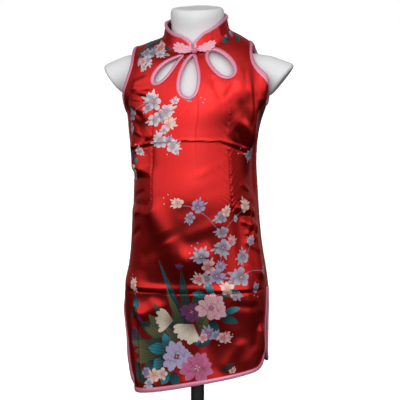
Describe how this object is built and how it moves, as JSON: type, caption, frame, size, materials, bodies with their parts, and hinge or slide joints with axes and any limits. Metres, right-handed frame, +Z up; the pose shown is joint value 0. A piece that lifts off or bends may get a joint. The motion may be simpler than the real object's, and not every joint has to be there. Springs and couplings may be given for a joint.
{
  "type": "cheongsam dress on a dress form",
  "caption": "Child's sleeveless satin cheongsam with stand collar, keyhole neckline, frog fastening, bound edges and side slits, worn on a limbless dress form on a round stand.",
  "frame": {"origin": "centre of the stand's underside, on the surface it stands on", "axes": "+Z up, the front of the dress faces -Y, +X towards the wearer's left"},
  "size_m": [0.292, 0.236, 0.703],
  "materials": {
    "red_satin": "printed polyester satin",
    "pink_satin": "satin bias binding",
    "pink_lace": "embroidered lace",
    "form_shell": "satin white plastic shell",
    "black_paint": "black paint"
  },
  "bodies": {
    "root": {"front_panel": "red_satin", "back_panel": "red_satin", "collar": "red_satin", "front_hem_binding": "pink_satin", "back_hem_binding": "pink_satin", "armhole_binding_left": "pink_satin", "armhole_binding_right": "pink_satin", "keyhole_binding_centre": "pink_satin", "keyhole_binding_left": "pink_satin", "keyhole_binding_right": "pink_satin", "collar_binding": "pink_satin", "frog_leaf_left": "pink_lace", "frog_leaf_right": "pink_lace", "frog_knot": "pink_satin", "dress_form": "form_shell", "stand_pole": "black_paint", "stand_base": "black_paint"}
  },
  "joints": []
}
